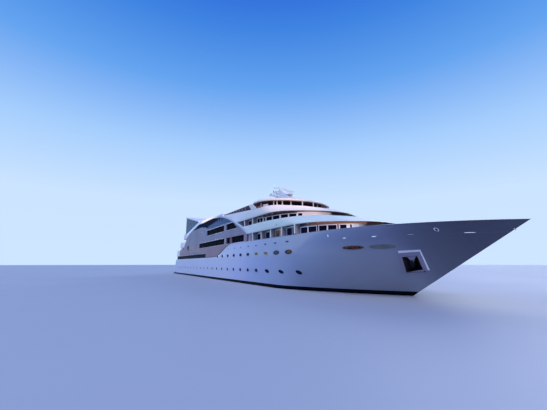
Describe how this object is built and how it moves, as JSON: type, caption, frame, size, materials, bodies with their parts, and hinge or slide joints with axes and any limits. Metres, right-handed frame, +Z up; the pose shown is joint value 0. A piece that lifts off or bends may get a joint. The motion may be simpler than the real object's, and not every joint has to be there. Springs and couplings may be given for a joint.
{
  "type": "motor yacht, 1:10 scale model",
  "caption": "Long white motor yacht with a raked flared bow, stepped rounded decks, sweeping side arches over metallic side panels, mast and running gear, as a 1:10 scale model.",
  "frame": {"origin": "on the centreline at the waterline amidships, where the afloat hull is held by the water", "axes": "+X towards the bow, +Y to port, +Z up"},
  "size_m": [10.8, 1.712, 2.4],
  "materials": {
    "hull_paint": "gloss",
    "white_paint": "gloss",
    "panel_paint": "metallic satin",
    "bottom_paint": "matte",
    "dark_glass": "dark tinted",
    "teak": "oiled planks",
    "steel": "satin",
    "bronze": "polished",
    "black_fittings": "matte"
  },
  "bodies": {
    "ship": {"hull": "hull_paint", "main_deck": "teak", "deck_3_aft": "white_paint", "lower_gallery": "dark_glass", "arch_port": "white_paint", "arch_starboard": "white_paint", "side_panel_port": "panel_paint", "side_panel_starboard": "panel_paint", "side_glass_port": "dark_glass", "side_glass_starboard": "dark_glass", "deck_4": "white_paint", "deck_5": "white_paint", "house_deck_3": "white_paint", "house_deck_4": "white_paint", "house_deck_5": "white_paint", "top_house": "white_paint", "top_house_glass": "dark_glass", "top_roof": "white_paint", "aft_roof": "white_paint", "canopy": "white_paint", "canopy_screen_port": "dark_glass", "canopy_screen_starboard": "dark_glass", "mast": "white_paint", "wind_screen_port": "dark_glass", "wind_screen_starboard": "dark_glass", "satellite_dome_port": "white_paint", "satellite_dome_starboard": "white_paint", "hatch_coaming": "white_paint", "windlass_port": "white_paint", "windlass_starboard": "white_paint", "bollards_fore_port": "steel", "bollards_fore_starboard": "steel", "bollards_aft_port": "steel", "bollards_aft_starboard": "steel", "anchor_port": "steel", "anchor_starboard": "steel", "keel_and_skeg": "bottom_paint", "bilge_keel_port": "bottom_paint", "bilge_keel_starboard": "bottom_paint", "swim_platform": "teak", "shaft_bracket_port": "bottom_paint", "shaft_bracket_starboard": "bottom_paint", "thruster_leg": "bottom_paint"},
    "port_propeller": {"propeller_port": "bronze", "shaft_port": "steel"},
    "starboard_propeller": {"propeller_starboard": "bronze", "shaft_starboard": "steel"},
    "port_rudder": {"rudder_port": "bottom_paint"},
    "starboard_rudder": {"rudder_starboard": "bottom_paint"},
    "bow_thruster": {"thruster_propeller": "bronze"},
    "upper_radar": {"radar_scanner_upper": "black_fittings"},
    "lower_radar": {"radar_scanner_lower": "black_fittings"},
    "port_windlass": {"windlass_drum_port": "steel"},
    "starboard_windlass": {"windlass_drum_starboard": "steel"},
    "foredeck_hatch": {"hatch_lid": "white_paint"},
    "port_stern_door": {"stern_door_port": "dark_glass"},
    "starboard_stern_door": {"stern_door_starboard": "dark_glass"}
  },
  "joints": [
    {"name": "propeller_port_turn", "type": "hinge", "parent": "ship", "child": "port_propeller", "pos_m": [-4.46, 0.36, -0.27], "axis": [1, 0, 0], "continuous": true},
    {"name": "propeller_starboard_turn", "type": "hinge", "parent": "ship", "child": "starboard_propeller", "pos_m": [-4.46, -0.36, -0.27], "axis": [1, 0, 0], "continuous": true},
    {"name": "rudder_port_steer", "type": "hinge", "parent": "ship", "child": "port_rudder", "pos_m": [-4.67, 0.36, -0.25], "axis": [0, 0, 1], "range_deg": [-35, 35]},
    {"name": "rudder_starboard_steer", "type": "hinge", "parent": "ship", "child": "starboard_rudder", "pos_m": [-4.67, -0.36, -0.25], "axis": [0, 0, 1], "range_deg": [-35, 35]},
    {"name": "thruster_turn", "type": "hinge", "parent": "ship", "child": "bow_thruster", "pos_m": [3.45, 0.05, -0.22], "axis": [0, 1, 0], "continuous": true},
    {"name": "radar_upper_turn", "type": "hinge", "parent": "ship", "child": "upper_radar", "pos_m": [1.31, 0, 1.9], "axis": [0, 0, 1], "continuous": true},
    {"name": "radar_lower_turn", "type": "hinge", "parent": "ship", "child": "lower_radar", "pos_m": [1.72, 0, 1.72], "axis": [0, 0, 1], "continuous": true},
    {"name": "windlass_port_turn", "type": "hinge", "parent": "ship", "child": "port_windlass", "pos_m": [4.62, 0.17, 0.715], "axis": [0, 1, 0], "continuous": true},
    {"name": "windlass_starboard_turn", "type": "hinge", "parent": "ship", "child": "starboard_windlass", "pos_m": [4.62, -0.17, 0.715], "axis": [0, 1, 0], "continuous": true},
    {"name": "hatch_open", "type": "hinge", "parent": "ship", "child": "foredeck_hatch", "pos_m": [4.215, 0, 0.6843], "axis": [0, -1, 0], "range_deg": [0, 100]},
    {"name": "stern_door_port_open", "type": "hinge", "parent": "ship", "child": "port_stern_door", "pos_m": [-4.15, 0.095, 0.74], "axis": [0, 0, -1], "range_deg": [0, 100]},
    {"name": "stern_door_starboard_open", "type": "hinge", "parent": "ship", "child": "starboard_stern_door", "pos_m": [-4.15, -0.095, 0.74], "axis": [0, 0, 1], "range_deg": [0, 100]}
  ]
}
